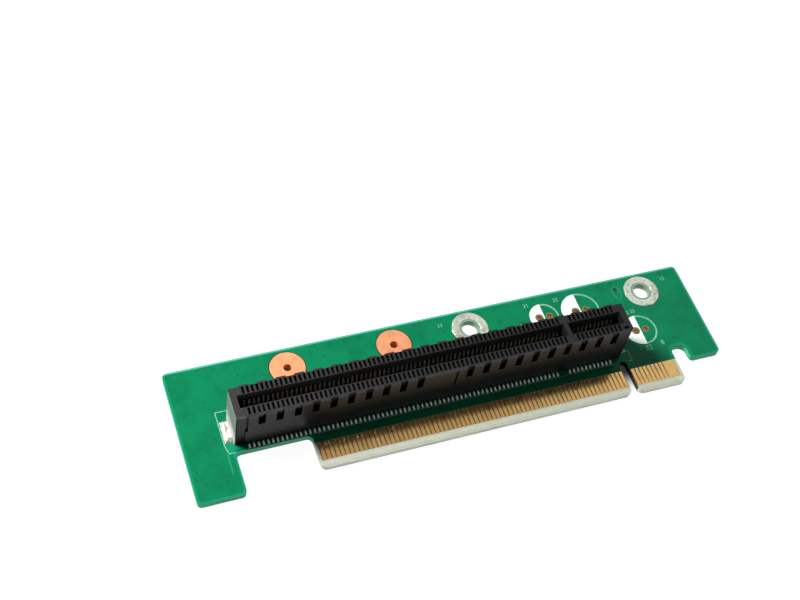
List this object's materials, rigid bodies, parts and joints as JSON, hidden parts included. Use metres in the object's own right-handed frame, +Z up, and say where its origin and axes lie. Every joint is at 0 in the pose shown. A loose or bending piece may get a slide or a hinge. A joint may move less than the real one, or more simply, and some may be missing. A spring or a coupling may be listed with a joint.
{
  "type": "pcie riser card",
  "caption": "Flat printed board with a card-edge connector along one side, a keyed card slot standing on its face, and mounting holes.",
  "frame": {"origin": "under the middle of the board's bounding rectangle, in the plane of the board's underside", "axes": "+X along the slot, from the long contact section towards the short one; +Y from the mating edge towards the opposite edge; +Z up from the board through the card slot's mouth"},
  "size_m": [0.123, 0.0316, 0.0128],
  "materials": {
    "board": "glossy green solder mask over glass-fibre laminate, bare cream laminate along the mating edge",
    "edge_gold": "gold plating over nickel on copper foil",
    "housing": "black moulded plastic, semi-gloss",
    "contact_strip": "stamped copper alloy, tinned tail, gold flash at the nose",
    "clip_metal": "tinned sheet metal",
    "tinned_land": "tinned copper land",
    "copper": "bare matt copper foil",
    "tinned_ring": "solder-coated copper, uneven",
    "tinned_pad": "tinned plated hole"
  },
  "bodies": {
    "root": {"circuit_board": "board", "edge_contacts_top_long": "edge_gold", "edge_contacts_top_short": "edge_gold", "edge_power_pad": "edge_gold", "edge_contacts_bottom_long": "edge_gold", "edge_contacts_bottom_short": "edge_gold", "slot_housing": "housing", "slot_contacts_front_long": "contact_strip", "slot_contacts_front_short": "contact_strip", "slot_contacts_rear_long": "contact_strip", "slot_contacts_rear_short": "contact_strip", "hold_down_left": "clip_metal", "hold_down_right": "clip_metal", "solder_lands_front": "tinned_land", "solder_lands_rear": "tinned_land", "hold_down_land_left": "tinned_land", "hold_down_land_right": "tinned_land", "copper_disc_left": "copper", "copper_disc_right": "copper", "mounting_ring_left": "tinned_ring", "mounting_ring_right": "tinned_ring", "capacitor_pads_a": "tinned_pad", "capacitor_pads_b": "tinned_pad", "capacitor_pads_c": "tinned_pad", "test_via": "tinned_pad"}
  },
  "joints": []
}
